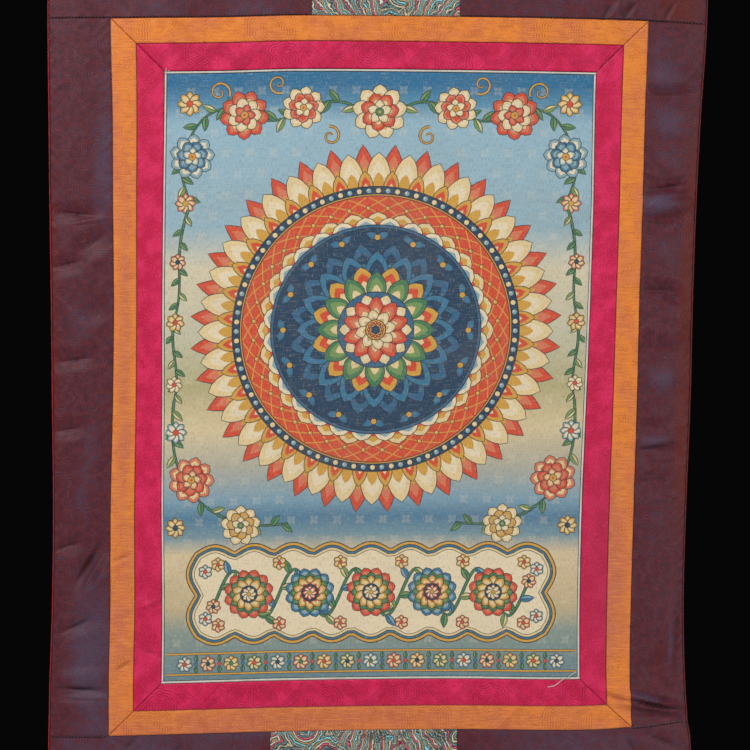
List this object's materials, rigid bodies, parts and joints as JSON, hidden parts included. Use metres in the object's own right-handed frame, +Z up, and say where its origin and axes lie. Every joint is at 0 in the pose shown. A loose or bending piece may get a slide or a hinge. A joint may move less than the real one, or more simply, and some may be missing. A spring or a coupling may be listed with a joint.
{
  "type": "hanging scroll painting",
  "caption": "Hanging thangka scroll: a woven picture in nested crimson and orange mitred frames, set in a dark brocade cloth with bright brocade patches above and below.",
  "frame": {"origin": "middle of the top edge, where the cloth is held", "axes": "+Z up along the hanging cloth, -Y out of its face towards the viewer, +X to the viewer's right"},
  "size_m": [0.6903, 0.016, 1.2272],
  "materials": {
    "dark_brocade": "shot silk damask, tone on tone",
    "orange_damask": "silk damask, tone on tone",
    "crimson_damask": "silk damask, tone on tone",
    "woven_picture": "many-coloured woven silk, matte",
    "patch_brocade": "many-coloured silk brocade",
    "white_cord": "twisted cotton",
    "red_edge": "satin piping"
  },
  "bodies": {
    "root": {"picture": "woven_picture", "piping_top": "white_cord", "piping_bottom": "white_cord", "piping_left": "white_cord", "piping_right": "white_cord", "crimson_top": "crimson_damask", "crimson_bottom": "crimson_damask", "crimson_left": "crimson_damask", "crimson_right": "crimson_damask", "orange_top": "orange_damask", "orange_bottom": "orange_damask", "orange_left": "orange_damask", "orange_right": "orange_damask", "side_left": "dark_brocade", "side_right": "dark_brocade", "upper_left": "dark_brocade", "upper_patch": "patch_brocade", "upper_right": "dark_brocade", "lower_left": "dark_brocade", "lower_patch": "patch_brocade", "lower_right": "dark_brocade", "edge_left": "red_edge", "edge_right": "red_edge", "thread_end": "white_cord"}
  },
  "joints": []
}
